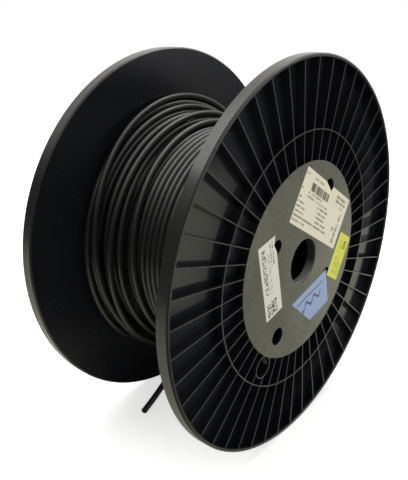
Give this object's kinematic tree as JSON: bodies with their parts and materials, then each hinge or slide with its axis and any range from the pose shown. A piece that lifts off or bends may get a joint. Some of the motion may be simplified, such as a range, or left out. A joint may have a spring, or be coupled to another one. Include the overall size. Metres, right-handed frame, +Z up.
{
  "type": "cable reel",
  "caption": "Round plastic cable reel standing on its ribbed flanges, wound with dark round cable whose free end lies on the floor, with paper labels on one hub face.",
  "frame": {"origin": "on the floor below the middle of the reel, halfway between the flanges", "axes": "+Y along the axle from the labelled flange to the plain one, +Z up, +X to the right when facing the labelled flange"},
  "size_m": [0.315, 0.15, 0.315],
  "materials": {
    "flange": "black moulded polystyrene, glossy between the ribs",
    "barrel": "black plastic tube",
    "sheath": "dark grey cable sheath, satin",
    "cream_paper": "cream coated paper",
    "white_paper": "white coated paper",
    "yellow_paper": "yellow paper",
    "blue_paper": "blue paper note"
  },
  "bodies": {
    "root": {"near_flange": "flange", "far_flange": "flange", "barrel_tube": "barrel", "cable_winding": "sheath", "cable_tail": "sheath", "shipping_label": "cream_paper", "code_label": "white_paper", "test_label": "yellow_paper", "length_note": "blue_paper"}
  },
  "joints": []
}
